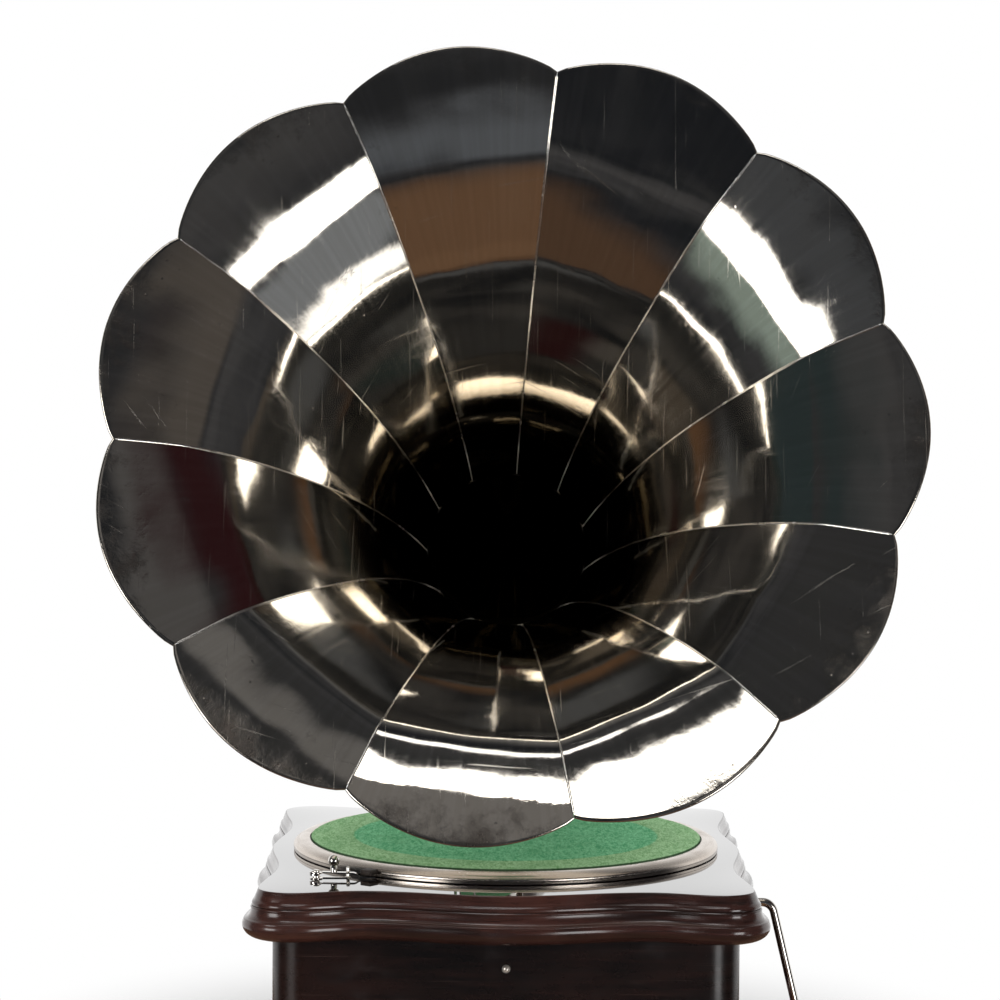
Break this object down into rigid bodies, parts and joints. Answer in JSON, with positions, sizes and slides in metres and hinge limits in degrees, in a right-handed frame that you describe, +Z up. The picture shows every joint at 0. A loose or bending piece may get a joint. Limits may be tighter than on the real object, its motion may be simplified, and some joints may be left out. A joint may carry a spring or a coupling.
{
  "type": "disc phonograph",
  "caption": "Wind-up disc phonograph: dark wooden box with wavy mouldings, felt platter, tone arm, crank and a large petalled horn on a back bracket.",
  "frame": {"origin": "centre of the bottom face, under the platter spindle", "axes": "+Z up, front with the horn's mouth towards -Y, crank on the +X side"},
  "size_m": [0.5982, 0.4794, 0.7395],
  "materials": {
    "mahogany": "dark polished mahogany",
    "plain_wood": "bare wood",
    "nickel": "polished nickel",
    "horn_sheet": "polished nickel sheet, aged",
    "cast_bracket": "nickelled casting",
    "steel": "satin steel",
    "pan": "pressed steel",
    "brushed_rim": "brushed nickel",
    "felt": "green felt in two tones",
    "brass": "satin brass",
    "rubber": "matt rubber",
    "mica": "mica sheet",
    "leather": "black leather",
    "grip_wood": "ebonised wood"
  },
  "bodies": {
    "cabinet": {"case_walls": "mahogany", "bottom_board": "plain_wood", "base_moulding": "mahogany", "top_moulding": "mahogany", "top_board": "mahogany", "corner_blocks": "plain_wood", "front_stud": "nickel", "crank_escutcheon": "nickel", "horn_bracket": "cast_bracket", "bracket_screws": "steel", "brake_base": "nickel", "motor_top_plate": "steel", "motor_bottom_plate": "steel", "motor_cheeks": "steel", "motor_bolts": "steel"},
    "platter": {"platter": "pan", "platter_rim": "brushed_rim", "felt_mat": "felt", "spindle": "steel"},
    "barrel": {"spring_barrel": "brass", "mainspring": "steel"},
    "intermediate": {"intermediate_gear": "brass"},
    "governor": {"governor_shaft": "steel", "governor_weights": "brass", "governor_springs": "steel", "governor_disc": "brass"},
    "crank": {"crank_shaft": "steel", "crank_rod": "nickel"},
    "grip": {"crank_grip": "grip_wood"},
    "winding": {"winding_arbor": "steel"},
    "horn": {"petal_01": "horn_sheet", "petal_02": "horn_sheet", "petal_03": "horn_sheet", "petal_04": "horn_sheet", "petal_05": "horn_sheet", "petal_06": "horn_sheet", "petal_07": "horn_sheet", "petal_08": "horn_sheet", "petal_09": "horn_sheet", "petal_10": "horn_sheet", "petal_11": "horn_sheet", "seam_ribs": "horn_sheet", "neck_collar": "nickel", "horn_neck": "nickel", "horn_ferrule": "nickel"},
    "horn_lock": {"horn_thumbscrew": "nickel"},
    "tonearm": {"tonearm_collar": "nickel", "tonearm_tube": "nickel"},
    "soundbox": {"gooseneck": "nickel", "soundbox_case": "nickel", "soundbox_gaskets": "rubber", "diaphragm": "mica", "stylus_bar": "nickel", "needle": "steel"},
    "needle_lock": {"needle_screw": "nickel"},
    "brake": {"brake_lever": "nickel", "brake_knob": "nickel", "brake_pad": "leather"},
    "speed_screw": {"speed_knob": "nickel"},
    "speed_rocker": {"speed_lever": "steel"}
  },
  "joints": [
    {"name": "platter_spin", "type": "hinge", "parent": "cabinet", "child": "platter", "pos_m": [0, 0, 0.165], "axis": [0, 0, 1], "continuous": true},
    {"name": "barrel_turn", "type": "hinge", "parent": "cabinet", "child": "barrel", "pos_m": [0.05, 0.04, 0.0785], "axis": [1, 0, 0], "continuous": true},
    {"name": "intermediate_turn", "type": "hinge", "parent": "cabinet", "child": "intermediate", "pos_m": [0.03, -0.026, 0.0785], "axis": [1, 0, 0], "continuous": true},
    {"name": "governor_spin", "type": "hinge", "parent": "cabinet", "child": "governor", "pos_m": [-0.0224, 0, 0.045], "axis": [0, 1, 0], "continuous": true},
    {"name": "crank_turn", "type": "hinge", "parent": "cabinet", "child": "crank", "pos_m": [0.15, 0.04, 0.119], "axis": [1, 0, 0], "continuous": true},
    {"name": "winding_turn", "type": "hinge", "parent": "cabinet", "child": "winding", "pos_m": [0.05, 0.04, 0.0785], "axis": [1, 0, 0], "continuous": true},
    {"name": "grip_spin", "type": "hinge", "parent": "crank", "child": "grip", "pos_m": [0.26, 0.04, 0.031], "axis": [1, 0, 0], "continuous": true},
    {"name": "horn_swivel", "type": "hinge", "parent": "cabinet", "child": "horn", "pos_m": [0, 0.235, 0.265], "axis": [0, 0, 1], "range_deg": [-60, 60]},
    {"name": "horn_lock_turn", "type": "hinge", "parent": "cabinet", "child": "horn_lock", "pos_m": [0.03, 0.235, 0.26], "axis": [1, 0, 0], "continuous": true},
    {"name": "tonearm_swing", "type": "hinge", "parent": "cabinet", "child": "tonearm", "pos_m": [0, 0.235, 0.245], "axis": [0, 0, 1], "range_deg": [-8, 44]},
    {"name": "gooseneck_turn", "type": "hinge", "parent": "tonearm", "child": "soundbox", "pos_m": [0, 0.03, 0.215], "axis": [0, 1, 0], "range_deg": [0, 165]},
    {"name": "needle_lock_turn", "type": "hinge", "parent": "soundbox", "child": "needle_lock", "pos_m": [-0.0365, -0.00744, 0.18758], "axis": [1, 0, 0], "continuous": true},
    {"name": "brake_turn", "type": "hinge", "parent": "cabinet", "child": "brake", "pos_m": [-0.13, -0.129, 0.169], "axis": [0, 0, 1], "range_deg": [-12, 0]},
    {"name": "speed_turn", "type": "hinge", "parent": "cabinet", "child": "speed_screw", "pos_m": [0.092, 0.15, 0.165], "axis": [0, 0, 1], "range_deg": [0, 270]},
    {"name": "speed_rock", "type": "hinge", "parent": "cabinet", "child": "speed_rocker", "pos_m": [0.03, 0.103, 0.1448], "axis": [1, 0, 0], "range_deg": [-1.2, 0.2]}
  ],
  "couplings": [
    {"joint": "intermediate_turn", "follows": "platter_spin", "ratio": 0.2},
    {"joint": "barrel_turn", "follows": "platter_spin", "ratio": -0.044444},
    {"joint": "governor_spin", "follows": "platter_spin", "ratio": 10},
    {"joint": "winding_turn", "follows": "crank_turn", "ratio": -0.5},
    {"joint": "speed_rock", "follows": "speed_turn", "ratio": -0.0034}
  ]
}
